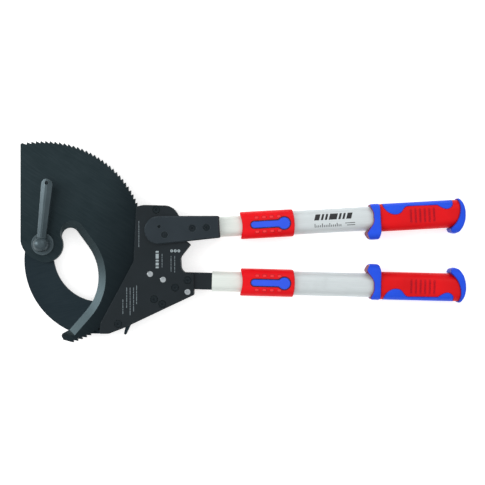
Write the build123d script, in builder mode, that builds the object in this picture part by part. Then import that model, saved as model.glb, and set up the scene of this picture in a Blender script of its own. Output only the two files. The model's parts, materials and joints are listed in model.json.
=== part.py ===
from build123d import *
import os
from math import cos, radians, sin

# Ratchet cable cutter with telescopic handles, lying on its back.
# Millimetres. Origin: blade pivot axis, on the face that the tool lies on.
# +X runs along the handles, +Y to the upper handle's side, +Z up to the front.

os.makedirs("parts", exist_ok=True)

# ---------------------------------------------------------------- layers, Z
REAR_LEVER_Z = (0.0, 6.6)
REAR_PLATE_Z = (7.0, 12.0)
JAW_Z = (12.0, 20.0)
SPACER_Z = (20.0, 28.0)
BLADE_Z = (20.3, 27.7)
FRONT_PLATE_Z = (28.0, 33.0)
FRONT_LEVER_Z = (33.4, 40.0)
LEVER_GAP_Z = (REAR_LEVER_Z[1], FRONT_LEVER_Z[0])
HANDLE_Z = 20.0
EDGE_BREAK = 0.6

# ---------------------------------------------------------------- blade
TOOTH_TIP_R = 157.0
TOOTH_ROOT_R = 153.3
TOOTH_PITCH = 2.6
STEEP_FACE = 0.25
FIRST_TIP_ANGLE = 101.54
TOOTH_COUNT = 68
BLADE_BACK_X = -34.0
NOTCH_START = (28.4, 9.1)
NOTCH_TOP = (35.5, 23.4)
EDGE_START = (51.0, 20.4)
EDGE_CENTRE = (4.5, -50.5)
EDGE_R = 79.3
EDGE_FROM = 36.0
EDGE_TO = -41.0
EDGE_TAIL = 37.7
NOSE_TIP = (27.0, -137.7)
BEVEL_TOP = (42.5, 35.5)
THROAT_POINTS = [(20.0, -141.0), (20.0, -110.0), (40.0, -20.0)]
BLADE_BACK_Y = (4.0, 152.0)
HUB_POINTS = [(22.0, -21.0), (-9.0, -24.0), (-25.5, -13.5)]
NOSE_HEEL = (31.5, -145.8)
NOSE_ROUND = 3.0
BEVEL_WIDTH = 12.0
EDGE_LAND = 0.5
BUSH_OUTER_R = 12.0

# ---------------------------------------------------------------- pivot
BOLT_HEAD_R = 17.0
BOLT_HEAD_CHAMFER = 1.5
SHANK_R = 10.0
THREAD_R = 6.0
THREAD_TOP = 41.5
WASHER_R = 17.0
WASHER_T = 2.5
RUNNING_FIT = 0.05
LOOSE_FIT = 0.2

# ---------------------------------------------------------------- hook and plates
HOOK_OUTER = (89.0, -24.7)
HOOK_OUTER_R = 118.7
HOOK_INNER = (87.3, -16.1)
HOOK_INNER_R = 72.4
HOOK_EDGE_CHAMFER = 4.0
HOOK_FLOOR_Y = -137.0
HOOK_END_X = 101.0
HOOK_BACK_X = -60.0
BOSS_R = 27.0
SPACER_CLEAR_R = 158.5
TOP_SPACER_X = (140.0, 203.0)
TOP_SPACER_Y = (38.0, 70.0)
NOSE_SPACER_R = 4.8
BOTTOM_SPACER_POINTS = [
    (153.0, -113.9), (230.3, -77.4), (230.3, -71.0), (206.5, -71.0), (206.5, -59.0),
    (193.0, -64.5), (178.0, -69.0), (166.0, -71.0),
]

LEVER_PIVOT = (178.0, 26.3)
LEVER_PIN_R = 6.0
LEVER_SPIGOT_R = 4.5
LEVER_DIMPLE_R = 2.5
LEVER_SPIGOT_DEPTH = 4.0
DRIVE_PIN = (186.2, 14.0)
DRIVE_PIN_R = 4.0
DRIVE_PIN_HEAD_R = 5.2
DRIVE_PIN_HEAD_T = 2.4
SLOT_R = 14.8
SLOT_FROM = -58.3
SLOT_SWEEP = 49.0
SLOT_WIDTH = 8.8
HOLD_PIN = (163.9, -45.6)
SPRING_POST = (183.5, -54.0)
DOWEL = (220.7, -72.8)
BRIGHT_PIN_R = 4.5
BAR_SCREW = (220.7, -54.9)
TOP_SCREW = (173.3, 52.0)
NOSE_SCREW = (115.2, -121.1)
BOTTOM_SCREWS = [(201.7, -66.1), (169.8, -83.9), (182.4, -91.2)]
PLATE_SCREWS = [TOP_SCREW, BAR_SCREW, NOSE_SCREW] + BOTTOM_SCREWS
NUT_POINTS = [BAR_SCREW, NOSE_SCREW] + BOTTOM_SCREWS
SCREW_R = 3.0
SCREW_HEAD_R = 5.8
SCREW_HEAD_T = 2.6
SOCKET_R = 2.6
SOCKET_DEPTH = 1.6
NUT_R = 6.0

# ---------------------------------------------------------------- clamp lever
BALL_R = 12.0
BALL_Z = 42.5
BALL_FLOOR_Z = 30.9
ARM_ANGLE = 82.9
ARM_RISE = 5.0
ARM_ROOT_LIFT = 1.5
ARM_START = 4.0
ARM_LENGTH = 98.0
ARM_WIDTHS = (12.4, 17.4)
ARM_HEIGHTS = (10.0, 11.5)
ARM_END_ROUND = 8.6
PLUG_REACH = 92.0
PLUG_R = 2.8
PLUG_DEPTH = 4.6
LEVER_TOP_Z = 52.5

# ---------------------------------------------------------------- pawls
NOSE_REACH = 49.6
DRIVE_NOSE_ANGLE = -127.4
PAWL_BOSS_R = 7.0
DRIVE_BOSS_R = 6.2
DRIVE_SPRING_POCKET_R = 5.4
DRIVE_SPRING_WIRE_R = 0.5
PAWL_TIP_R = 1.2
HOLD_NOSE = (124.5, -97.3)
HOLD_ELBOW = (133.5, -106.5)
HOLD_ELBOW_R = 4.6
TAIL_KNEE = (130.5, -121.5)
TAIL_KNEE_R = 3.6
TAIL_END = (125.6, -136.0)
TAIL_END_R = 1.9
SPRING_WIRE_R = 0.7
HOLD_COIL_Z = (22.0, 23.3, 24.6)
HOLD_SPRING_LEG = (168.5, -65.0)

# ---------------------------------------------------------------- handles
# Local frame of each handle: s along it, t across it with + on its outer side.
UPPER_ORIGIN = (177.0, 21.0)
UPPER_ANGLE = 3.2
LOWER_ORIGIN = (177.0, -54.8)
LOWER_ANGLE = -1.45
LEVER_END_R = 21.4
LEVER_END_S = 92.5
LEVER_END_HALF = 16.7
LEVER_CHAMFER = 1.8
LEVER_CORNER_R = 2.5
LEVER_SCREW_S = (51.2, 72.5)
BLOCK_START_S = 45.5
INNER_TUBE = (31.0, 21.0)
INNER_WALL = 2.0
OUTER_TUBE = (36.5, 26.5)
OUTER_WALL = 2.2
LOWER_TUBE_S = 80.6
TONGUE_LENGTH = 42.0
INNER_TUBE_END = 412.0
OUTER_TUBE_START = 173.0
OUTER_TUBE_END = 446.0
BAR_HEIGHT = 25.5
BAR_THICKNESS = 16.0
BAR_START_S = 31.0
BAR_SLOT_GAP = 0.2
BAR_SLOT_LENGTH = 60.0
GUIDE_LENGTH = 12.0
GUIDE_GAP = 0.3
PLUG_LENGTH = 9.0

CLAMP_S = (123.0, 203.6)
CLAMP_HEIGHT = 41.6
CLAMP_DEPTH = 36.0
CLAMP_CORNER = 13.0
CLAMP_BOWS = (4.0, 2.6)
CLAMP_TIP_R = 2.2
CLAMP_BORE_GAP = 0.45
LATCH_S = (145.2, 190.4)
LATCH_BAR_R = 4.9
LATCH_KNOB_R = 9.0
LATCH_GAP = 1.3
LATCH_T = 2.4
LATCH_PROUD = 0.5
LATCH_TOP_Z = HANDLE_Z + CLAMP_DEPTH / 2 + LATCH_PROUD
LATCH_FLOOR_Z = LATCH_TOP_Z - LATCH_T
LATCH_AXIS_S = 165.0
LATCH_AXIS_Z = 33.6
LATCH_PIN_R = 1.2
LATCH_LUG_R = 2.2
LATCH_LUG_WIDTH = 5.0
LATCH_PIN_REACH = 12.0
LATCH_SPRING_R = 1.65
LATCH_WIRE_R = 0.4
LATCH_SPRING_T = (3.2, 4.1)
SHOE_S = (141.5, 151.0)
SHOE_WIDTH = 7.0
SHOE_GAP = 0.3
RIB_SIZE = (6.0, 4.0)
RIB_PITCH = 11.3
RIB_START_S = 149.0
RIB_T = 10.8
RIB_COUNT = 4
RIB_HEIGHT = 0.7

GRIP_S = (336.5, 458.5)
GRIP_HEIGHT = 42.0
GRIP_DEPTH = 35.0
GRIP_CORNER = 14.0
INLAY_DEPTH = 1.4
INLAY_PROUD = 0.3
GROOVE_S = 382.5
GROOVE_COUNT = 6
GROOVE_PITCH = 7.0
GROOVE_WIDTH = 1.6
GROOVE_DEPTH = 0.7
GROOVE_HALF = 12.0
GUARD_DEPTH = 40.0
GUARD_CORNER = 12.0
GUARD_CORNERS = [
    ((320.0, 21.8), 3.0), ((336.5, 21.8), 3.0), ((336.5, -22.0), 8.0), ((333.5, -32.6), 4.0),
    ((319.0, -32.6), 6.0), ((314.3, -22.5), 3.0), ((325.9, -7.0), 14.0), ((325.9, 9.0), 20.0),
]
GUARD_T = (-32.6, 21.8)
CAP_REAR = [(458.5, 23.2), (465.2, 1.0), (455.0, -28.0)]
CAP_TIP = [(449.5, -30.3), (443.0, -28.0)]
CAP_FRONT = [(441.5, -22.5), (457.4, 5.0), (455.0, 23.2)]
CAP_T = (-30.3, 23.2)
CAP_CORNER = 14.0
LOBE_ONE = [(341.5, 17.0), (349.5, 7.0), (358.5, 3.8), (367.5, 6.2), (373.0, 12.6), (379.5, 15.3)]
LOBE_TWO = [(423.5, 14.6), (431.0, 9.6), (437.9, 7.8), (444.5, 10.8), (447.0, 17.0)]
LOBE_TOP_T = 26.0


def finish(piece, name):
    """Label a finished piece and write it."""
    piece.part.label = name
    export_step(piece.part, f"parts/{name}.step")


def layer(heights):
    return Plane.XY.offset(heights[0])


def depth_of(heights):
    return heights[1] - heights[0]


def polar(radius, angle):
    return (radius * cos(radians(angle)), radius * sin(radians(angle)))


def shift(point, radius, angle):
    step = polar(radius, angle)
    return (point[0] + step[0], point[1] + step[1])


# ================================================================ shared outlines
# Corners of the side plates, each with the radius that rounds it.
HEAD_CORNERS = [
    ((142.7, 57.0), 2.0), ((154.0, 59.4), 20.0), ((197.5, 58.3), 20.0), ((212.8, 33.0), 16.0),
    ((208.8, 11.9), 4.0), ((225.1, -1.1), 1.5), ((209.9, -20.4), 8.0), ((211.2, -43.8), 11.0),
    ((230.3, -44.8), 1.0), ((230.3, -77.4), 1.0), ((135.6, -122.1), 8.0), ((122.4, -128.1), 20.0),
    ((101.0, -136.3), 10.0), ((86.8, -136.3), 1.5), ((88.8, -120.1), 8.0), ((138.6, -26.6), 8.0),
]
with BuildSketch() as head_outline:
    with BuildLine():
        corner_points = [corner for corner, _ in HEAD_CORNERS]
        corner_radii = [radius for _, radius in HEAD_CORNERS]
        FilletPolyline(*corner_points, radius=corner_radii, close=True)
    make_face()

drive_pin_track = CenterArc(LEVER_PIVOT, SLOT_R, SLOT_FROM, SLOT_SWEEP)
lower_plane = Plane(
    origin=(*LOWER_ORIGIN, 0),
    x_dir=(cos(radians(LOWER_ANGLE)), sin(radians(LOWER_ANGLE)), 0),
    z_dir=(0, 0, 1),
)
upper_plane = Plane(
    origin=(*UPPER_ORIGIN, 0),
    x_dir=(cos(radians(UPPER_ANGLE)), sin(radians(UPPER_ANGLE)), 0),
    z_dir=(0, 0, 1),
)

# Every hole that the side plates and the fixed jaw share.
with BuildSketch() as head_holes:
    with Locations(*PLATE_SCREWS):
        Circle(SCREW_R + LOOSE_FIT)
    with Locations(HOLD_PIN, SPRING_POST, DOWEL):
        Circle(BRIGHT_PIN_R)
    with Locations(LEVER_PIVOT):
        Circle(LEVER_PIN_R + RUNNING_FIT)
    SlotArc(drive_pin_track, SLOT_WIDTH)

# ================================================================ head, fixed pieces
with BuildPart() as rear_plate:
    with BuildSketch(layer(REAR_PLATE_Z)):
        add(head_outline.sketch)
        add(head_holes.sketch, mode=Mode.SUBTRACT)
    extrude(amount=depth_of(REAR_PLATE_Z))
    rim = rear_plate.faces().sort_by(Axis.Z)[0].outer_wire().edges()
    chamfer(rim, EDGE_BREAK)
finish(rear_plate, "rear_plate")

with BuildPart() as front_plate:
    with BuildSketch(layer(FRONT_PLATE_Z)):
        add(head_outline.sketch)
        add(head_holes.sketch, mode=Mode.SUBTRACT)
    extrude(amount=depth_of(FRONT_PLATE_Z))
    rim = front_plate.faces().sort_by(Axis.Z)[-1].outer_wire().edges()
    chamfer(rim, EDGE_BREAK)
    with BuildSketch(Plane.XY.offset(FRONT_PLATE_Z[1] - SCREW_HEAD_T)):
        with Locations(*PLATE_SCREWS):
            Circle(SCREW_HEAD_R + LOOSE_FIT)
    extrude(amount=SCREW_HEAD_T, mode=Mode.SUBTRACT)
finish(front_plate, "front_plate")

# The fixed jaw is one plate: the hook, the pivot boss and the core between the side plates.
with BuildPart() as fixed_jaw:
    with BuildSketch(layer(JAW_Z)):
        with Locations(HOOK_OUTER):
            Circle(HOOK_OUTER_R)
        with Locations(HOOK_INNER):
            Circle(HOOK_INNER_R, mode=Mode.SUBTRACT)
        with BuildLine():
            Polyline(
                (HOOK_BACK_X, 0), (HOOK_BACK_X, HOOK_FLOOR_Y), (HOOK_END_X, HOOK_FLOOR_Y),
                (HOOK_END_X, 0), close=True,
            )
        make_face(mode=Mode.INTERSECT)
    extrude(amount=depth_of(JAW_Z))
    with Locations((*HOOK_INNER, JAW_Z[0])):
        Cone(
            HOOK_INNER_R + HOOK_EDGE_CHAMFER, HOOK_INNER_R - HOOK_EDGE_CHAMFER, depth_of(JAW_Z),
            align=(Align.CENTER, Align.CENTER, Align.MIN), mode=Mode.SUBTRACT,
        )
    with BuildSketch(layer(JAW_Z)):
        Circle(BOSS_R)
        add(head_outline.sketch)
    extrude(amount=depth_of(JAW_Z))
    with BuildSketch(layer(JAW_Z)):
        add(head_holes.sketch)
        Circle(SHANK_R)
    extrude(amount=depth_of(JAW_Z), mode=Mode.SUBTRACT)
    with BuildSketch(lower_plane.offset(JAW_Z[0])):
        with Locations((BAR_START_S - BAR_SLOT_GAP, 0)):
            Rectangle(
                BAR_SLOT_LENGTH, BAR_HEIGHT + 2 * BAR_SLOT_GAP, align=(Align.MIN, Align.CENTER)
            )
    extrude(amount=depth_of(JAW_Z), mode=Mode.SUBTRACT)
finish(fixed_jaw, "fixed_jaw")

# Spacers fill the blade's layer, outside the circle that its teeth sweep.
with BuildPart() as top_spacer:
    with BuildSketch(layer(SPACER_Z)):
        add(head_outline.sketch)
        Circle(SPACER_CLEAR_R, mode=Mode.SUBTRACT)
        with BuildLine():
            Polyline(
                (TOP_SPACER_X[0], TOP_SPACER_Y[0]), (TOP_SPACER_X[1], TOP_SPACER_Y[0]),
                (TOP_SPACER_X[1], TOP_SPACER_Y[1]), (TOP_SPACER_X[0], TOP_SPACER_Y[1]), close=True,
            )
        make_face(mode=Mode.INTERSECT)
        with Locations(TOP_SCREW):
            Circle(SCREW_R + LOOSE_FIT, mode=Mode.SUBTRACT)
    extrude(amount=depth_of(SPACER_Z))
finish(top_spacer, "top_spacer")

with BuildPart() as bottom_spacer:
    with BuildSketch(layer(SPACER_Z)):
        with BuildLine():
            Polyline(*BOTTOM_SPACER_POINTS, close=True)
        make_face()
        with Locations(*BOTTOM_SCREWS):
            Circle(SCREW_R + LOOSE_FIT, mode=Mode.SUBTRACT)
        with Locations(DOWEL):
            Circle(BRIGHT_PIN_R, mode=Mode.SUBTRACT)
    extrude(amount=depth_of(SPACER_Z))
finish(bottom_spacer, "bottom_spacer")

with BuildPart() as nose_spacer:
    with BuildSketch(layer(SPACER_Z)):
        with Locations(NOSE_SCREW):
            Circle(NOSE_SPACER_R)
            Circle(SCREW_R + LOOSE_FIT, mode=Mode.SUBTRACT)
    extrude(amount=depth_of(SPACER_Z))
finish(nose_spacer, "nose_spacer")

# Six socket screws, sunk flush in the front plate.
with BuildPart() as plate_screws:
    with BuildSketch(Plane.XY.offset(REAR_PLATE_Z[0] + LOOSE_FIT)):
        with Locations(*PLATE_SCREWS):
            Circle(SCREW_R)
    extrude(amount=FRONT_PLATE_Z[1] - SCREW_HEAD_T - REAR_PLATE_Z[0] - LOOSE_FIT)
    with BuildSketch(Plane.XY.offset(FRONT_PLATE_Z[1] - SCREW_HEAD_T)):
        with Locations(*PLATE_SCREWS):
            Circle(SCREW_HEAD_R)
    extrude(amount=SCREW_HEAD_T)
    chamfer(plate_screws.faces().group_by(Axis.Z)[-1].edges(), EDGE_BREAK)
    with BuildSketch(Plane.XY.offset(FRONT_PLATE_Z[1] - SOCKET_DEPTH)):
        with Locations(*PLATE_SCREWS):
            RegularPolygon(SOCKET_R, 6)
    extrude(amount=SOCKET_DEPTH, mode=Mode.SUBTRACT)
finish(plate_screws, "plate_screws")

# Five nuts behind the rear plate, which the tool also lies on.
with BuildPart() as plate_nuts:
    with BuildSketch():
        with Locations(*NUT_POINTS):
            RegularPolygon(NUT_R, 6)
    extrude(amount=REAR_PLATE_Z[0])
    chamfer(plate_nuts.faces().group_by(Axis.Z)[0].edges(), EDGE_BREAK)
finish(plate_nuts, "plate_nuts")


def bright_pin(point, name):
    """A ground pin through the whole head, domed at the front."""
    with BuildPart() as pin:
        with BuildSketch(layer(REAR_PLATE_Z)):
            with Locations(point):
                Circle(BRIGHT_PIN_R)
        extrude(amount=FRONT_PLATE_Z[1] - REAR_PLATE_Z[0] + EDGE_BREAK)
        fillet(pin.faces().sort_by(Axis.Z)[-1].edges(), EDGE_BREAK)
    finish(pin, name)


bright_pin(HOLD_PIN, "holding_pawl_pin")
bright_pin(SPRING_POST, "spring_post")
bright_pin(DOWEL, "plate_dowel")

# Torsion spring on its post, with one leg behind the holding pawl.
with BuildPart() as holding_pawl_spring:
    with Locations(*[(*SPRING_POST, z) for z in HOLD_COIL_Z]):
        Torus(BRIGHT_PIN_R + 2 * SPRING_WIRE_R, SPRING_WIRE_R)
    leg_start = Vector(SPRING_POST[0], SPRING_POST[1] - BRIGHT_PIN_R - 2 * SPRING_WIRE_R, HOLD_COIL_Z[1])
    leg_end = Vector(*HOLD_SPRING_LEG, HOLD_COIL_Z[1])
    with BuildSketch(Plane(origin=leg_start, z_dir=leg_end - leg_start)):
        Circle(SPRING_WIRE_R)
    extrude(amount=(leg_end - leg_start).length)
finish(holding_pawl_spring, "holding_pawl_spring")

# ---------------------------------------------------------------- pivot
with BuildPart() as pivot_bolt:
    with BuildSketch():
        Circle(BOLT_HEAD_R)
    extrude(amount=JAW_Z[0])
    chamfer(pivot_bolt.faces().sort_by(Axis.Z)[0].edges(), BOLT_HEAD_CHAMFER)
    with BuildSketch(layer(JAW_Z)):
        Circle(SHANK_R)
    extrude(amount=FRONT_PLATE_Z[0] - JAW_Z[0])
    with BuildSketch(layer(FRONT_PLATE_Z)):
        Circle(THREAD_R)
    extrude(amount=THREAD_TOP - FRONT_PLATE_Z[0])
    chamfer(pivot_bolt.faces().sort_by(Axis.Z)[-1].edges(), EDGE_BREAK)
finish(pivot_bolt, "pivot_bolt")

with BuildPart() as pivot_washer:
    with BuildSketch(layer(FRONT_PLATE_Z)):
        Circle(WASHER_R)
        Circle(THREAD_R + LOOSE_FIT, mode=Mode.SUBTRACT)
    extrude(amount=WASHER_T)
    chamfer(pivot_washer.faces().sort_by(Axis.Z)[-1].outer_wire().edges(), EDGE_BREAK)
finish(pivot_washer, "pivot_washer")

# ================================================================ blade
edge_from = shift(EDGE_CENTRE, EDGE_R, EDGE_FROM)
edge_mid = shift(EDGE_CENTRE, EDGE_R, (EDGE_FROM + EDGE_TO) / 2)
edge_to = shift(EDGE_CENTRE, EDGE_R, EDGE_TO)
edge_end = shift(edge_to, EDGE_TAIL, EDGE_TO - 90)
bevel_start = shift(EDGE_START, BEVEL_WIDTH, EDGE_FROM)
bevel_from = shift(EDGE_CENTRE, EDGE_R + BEVEL_WIDTH, EDGE_FROM)
bevel_mid = shift(EDGE_CENTRE, EDGE_R + BEVEL_WIDTH, (EDGE_FROM + EDGE_TO) / 2)
bevel_to = shift(EDGE_CENTRE, EDGE_R + BEVEL_WIDTH, EDGE_TO)
bevel_end = shift(edge_end, BEVEL_WIDTH, EDGE_TO)

tooth_points = []
for k in range(TOOTH_COUNT):
    tip_angle = FIRST_TIP_ANGLE - k * TOOTH_PITCH
    tooth_points.append(polar(TOOTH_TIP_R, tip_angle))
    tooth_points.append(polar(TOOTH_ROOT_R, tip_angle - TOOTH_PITCH + STEEP_FACE))

with BuildPart() as moving_blade:
    with BuildSketch(layer(BLADE_Z)):
        with BuildLine():
            Polyline(*[(BLADE_BACK_X, y) for y in BLADE_BACK_Y], tooth_points[0])
            Polyline(*tooth_points)
            Line(tooth_points[-1], NOSE_HEEL)
            Line(NOSE_HEEL, NOSE_TIP)
            Line(NOSE_TIP, edge_end)
            Line(edge_end, edge_to)
            ThreePointArc(edge_to, edge_mid, edge_from)
            Line(edge_from, EDGE_START)
            ThreePointArc(EDGE_START, NOTCH_TOP, NOTCH_START)
            ThreePointArc(NOTCH_START, *HUB_POINTS[:2])
            ThreePointArc(*HUB_POINTS[1:], (BLADE_BACK_X, BLADE_BACK_Y[0]))
        make_face()
        Circle(BUSH_OUTER_R, mode=Mode.SUBTRACT)
    extrude(amount=depth_of(BLADE_Z))
    nose_edges = moving_blade.edges().filter_by(Axis.Z).sort_by_distance((*NOSE_TIP, HANDLE_Z))[:1]
    fillet(nose_edges, NOSE_ROUND)
    # The front face falls to the cutting edge in a bevel that fades out round the notch.
    with BuildSketch(Plane.XY.offset(BLADE_Z[0] + EDGE_LAND)):
        with BuildLine():
            ThreePointArc(NOTCH_START, NOTCH_TOP, EDGE_START)
            Line(EDGE_START, edge_from)
            ThreePointArc(edge_from, edge_mid, edge_to)
            Line(edge_to, edge_end)
            Polyline(edge_end, *THROAT_POINTS, NOTCH_START)
        make_face()
    with BuildSketch(Plane.XY.offset(BLADE_Z[1])):
        with BuildLine():
            ThreePointArc(NOTCH_START, BEVEL_TOP, bevel_start)
            Line(bevel_start, bevel_from)
            ThreePointArc(bevel_from, bevel_mid, bevel_to)
            Line(bevel_to, bevel_end)
            Polyline(bevel_end, *THROAT_POINTS, NOTCH_START)
        make_face()
    loft(ruled=True, mode=Mode.SUBTRACT)
finish(moving_blade, "moving_blade")

with BuildPart() as blade_bush:
    with BuildSketch(layer(BLADE_Z)):
        Circle(BUSH_OUTER_R)
        Circle(SHANK_R + RUNNING_FIT, mode=Mode.SUBTRACT)
    extrude(amount=depth_of(BLADE_Z))
finish(blade_bush, "blade_bush")

# ================================================================ clamp lever on the pivot
arm_dir = Vector(
    cos(radians(ARM_ANGLE)) * cos(radians(ARM_RISE)),
    sin(radians(ARM_ANGLE)) * cos(radians(ARM_RISE)),
    sin(radians(ARM_RISE)),
)
arm_side = Vector(sin(radians(ARM_ANGLE)), -cos(radians(ARM_ANGLE)), 0)
arm_root = Vector(0, 0, BALL_Z + ARM_ROOT_LIFT)


def arm_section(width, height):
    """Flat underneath, with two facets that meet in a ridge on top."""
    with BuildSketch() as section:
        with BuildLine():
            Polyline(
                (-width / 2, -height / 2), (width / 2, -height / 2), (width / 2, height * 0.12),
                (width * 0.1, height / 2), (-width * 0.1, height / 2), (-width / 2, height * 0.12),
                close=True,
            )
        make_face()
    return section.sketch


with BuildPart() as clamp_lever:
    with BuildSketch(Plane(arm_root + arm_dir * ARM_START, x_dir=arm_side, z_dir=-arm_dir)):
        add(arm_section(ARM_WIDTHS[0], ARM_HEIGHTS[0]))
    with BuildSketch(Plane(arm_root + arm_dir * (ARM_LENGTH + 6), x_dir=arm_side, z_dir=-arm_dir)):
        add(arm_section(ARM_WIDTHS[1], ARM_HEIGHTS[1]))
    loft()
    with BuildSketch(Plane.XY.offset(BALL_FLOOR_Z)):
        Circle(ARM_WIDTHS[0] / 2)
        with Locations(polar(ARM_LENGTH - ARM_END_ROUND, ARM_ANGLE)):
            Circle(ARM_END_ROUND)
        make_hull()
    extrude(amount=50, mode=Mode.INTERSECT)
    with Locations((0, 0, BALL_Z)):
        Sphere(BALL_R)
    with Locations((0, 0, BALL_FLOOR_Z)):
        Box(60, 60, 30, align=(Align.CENTER, Align.CENTER, Align.MAX), mode=Mode.SUBTRACT)
    with BuildSketch(Plane.XY.offset(BALL_FLOOR_Z)):
        Circle(THREAD_R + RUNNING_FIT)
    extrude(amount=THREAD_TOP + EDGE_BREAK - BALL_FLOOR_Z, mode=Mode.SUBTRACT)
    with BuildSketch(Plane.XY.offset(LEVER_TOP_Z)):
        with Locations(polar(PLUG_REACH, ARM_ANGLE)):
            Circle(PLUG_R + RUNNING_FIT)
    extrude(amount=30, mode=Mode.SUBTRACT)
finish(clamp_lever, "clamp_lever")

with BuildPart() as lever_end_plug:
    with BuildSketch(Plane.XY.offset(LEVER_TOP_Z)):
        with Locations(polar(PLUG_REACH, ARM_ANGLE)):
            Circle(PLUG_R)
    extrude(amount=PLUG_DEPTH)
    chamfer(lever_end_plug.faces().sort_by(Axis.Z)[-1].edges(), EDGE_BREAK)
finish(lever_end_plug, "lever_end_plug")

# ================================================================ upper lever
with BuildSketch() as lever_outline:
    Circle(LEVER_END_R)
    corner_x = LEVER_END_S - LEVER_CORNER_R
    corner_y = LEVER_END_HALF - LEVER_CORNER_R
    with Locations((corner_x, corner_y), (corner_x, -corner_y)):
        Circle(LEVER_CORNER_R)
    make_hull()


def lever_plate(heights, outer_face, name):
    """One of the two lever plates. outer_face is 1 at the front and -1 at the rear."""
    inner_z = heights[0] if outer_face > 0 else heights[1]
    outer_z = heights[1] if outer_face > 0 else heights[0]
    with BuildPart() as plate:
        with BuildSketch(upper_plane.offset(heights[0])):
            add(lever_outline.sketch)
        extrude(amount=depth_of(heights))
        outer = plate.faces().sort_by(Axis.Z)[-1 if outer_face > 0 else 0]
        chamfer(outer.outer_wire().edges(), LEVER_CHAMFER)
        with BuildSketch(Plane.XY.offset(inner_z)):
            with Locations(LEVER_PIVOT):
                Circle(LEVER_SPIGOT_R)
        extrude(amount=outer_face * LEVER_SPIGOT_DEPTH, mode=Mode.SUBTRACT)
        with BuildSketch(Plane.XY.offset(heights[0])):
            with Locations(LEVER_PIVOT):
                Circle(LEVER_DIMPLE_R)
            with Locations(DRIVE_PIN):
                Circle(DRIVE_PIN_R)
        extrude(amount=depth_of(heights), mode=Mode.SUBTRACT)
        with BuildSketch(upper_plane.offset(heights[0])):
            with Locations(*[(s, 0) for s in LEVER_SCREW_S]):
                Circle(SCREW_R + LOOSE_FIT)
        extrude(amount=depth_of(heights), mode=Mode.SUBTRACT)
        if outer_face > 0:
            with BuildSketch(Plane.XY.offset(outer_z - DRIVE_PIN_HEAD_T)):
                with Locations(DRIVE_PIN):
                    Circle(DRIVE_PIN_HEAD_R + LOOSE_FIT)
            extrude(amount=DRIVE_PIN_HEAD_T, mode=Mode.SUBTRACT)
            for screw_s in LEVER_SCREW_S:
                with BuildSketch(upper_plane.offset(outer_z - SCREW_HEAD_T)):
                    with Locations((screw_s, 0)):
                        Circle(SCREW_R + LOOSE_FIT)
                with BuildSketch(upper_plane.offset(outer_z)):
                    with Locations((screw_s, 0)):
                        Circle(SCREW_HEAD_R + 2 * LOOSE_FIT)
                loft(mode=Mode.SUBTRACT)
    finish(plate, name)


lever_plate(REAR_LEVER_Z, -1, "rear_lever_plate")
lever_plate(FRONT_LEVER_Z, 1, "front_lever_plate")

with BuildPart() as lever_pivot_pin:
    with BuildSketch(Plane.XY.offset(LEVER_GAP_Z[0] + LOOSE_FIT)):
        with Locations(LEVER_PIVOT):
            Circle(LEVER_PIN_R)
    extrude(amount=depth_of(LEVER_GAP_Z) - 2 * LOOSE_FIT)
    with BuildSketch(Plane.XY.offset(LEVER_GAP_Z[0] - LEVER_SPIGOT_DEPTH + LOOSE_FIT)):
        with Locations(LEVER_PIVOT):
            Circle(LEVER_SPIGOT_R)
    extrude(amount=depth_of(LEVER_GAP_Z) + 2 * (LEVER_SPIGOT_DEPTH - LOOSE_FIT))
finish(lever_pivot_pin, "lever_pivot_pin")

with BuildPart() as drive_pawl_pin:
    with BuildSketch(Plane.XY.offset(LOOSE_FIT)):
        with Locations(DRIVE_PIN):
            Circle(DRIVE_PIN_R)
    extrude(amount=FRONT_LEVER_Z[1] - DRIVE_PIN_HEAD_T - LOOSE_FIT)
    with BuildSketch(Plane.XY.offset(FRONT_LEVER_Z[1] - DRIVE_PIN_HEAD_T)):
        with Locations(DRIVE_PIN):
            Circle(DRIVE_PIN_HEAD_R)
    extrude(amount=DRIVE_PIN_HEAD_T - LOOSE_FIT)
    with BuildSketch(Plane.XY.offset(FRONT_LEVER_Z[1] - 1)):
        with Locations(*[(DRIVE_PIN[0] + step, DRIVE_PIN[1]) for step in (-1.6, 1.6)]):
            Rectangle(1.1, 6)
    extrude(amount=1, mode=Mode.SUBTRACT)
finish(drive_pawl_pin, "drive_pawl_pin")

# Two countersunk socket screws hold the lever plates on the handle block.
with BuildPart() as lever_screws:
    screw_spots = [(s, 0) for s in LEVER_SCREW_S]
    with BuildSketch(upper_plane.offset(1)):
        with Locations(*screw_spots):
            Circle(SCREW_R)
    extrude(amount=FRONT_LEVER_Z[1] - SCREW_HEAD_T - 1)
    for spot in screw_spots:
        with BuildSketch(upper_plane.offset(FRONT_LEVER_Z[1] - SCREW_HEAD_T)):
            with Locations(spot):
                Circle(SCREW_R)
        with BuildSketch(upper_plane.offset(FRONT_LEVER_Z[1] - LOOSE_FIT)):
            with Locations(spot):
                Circle(SCREW_HEAD_R)
        loft()
    with BuildSketch(upper_plane.offset(FRONT_LEVER_Z[1] - SOCKET_DEPTH - LOOSE_FIT)):
        with Locations(*screw_spots):
            RegularPolygon(SOCKET_R, 6)
    extrude(amount=SOCKET_DEPTH, mode=Mode.SUBTRACT)
finish(lever_screws, "lever_screws")


# ================================================================ handles
HANDLES = {
    "upper": (upper_plane, 1),
    "lower": (lower_plane, -1),
}


def plan_plane(handle, z):
    """Plane of a plan view of the handle: x is s, y is the crosswise direction."""
    return HANDLES[handle][0].offset(z)


def section_plane(handle, s):
    """Plane across the handle at s: x is the crosswise direction, y is up."""
    base = HANDLES[handle][0]
    origin = base.from_local_coords(Vector(s, 0, HANDLE_Z))
    return Plane(origin=origin, x_dir=base.y_dir, z_dir=base.x_dir)


def facing(handle, points):
    """Plan points (s, t outwards) turned to the handle's own outer side."""
    return [(s, HANDLES[handle][1] * t) for s, t in points]


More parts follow.
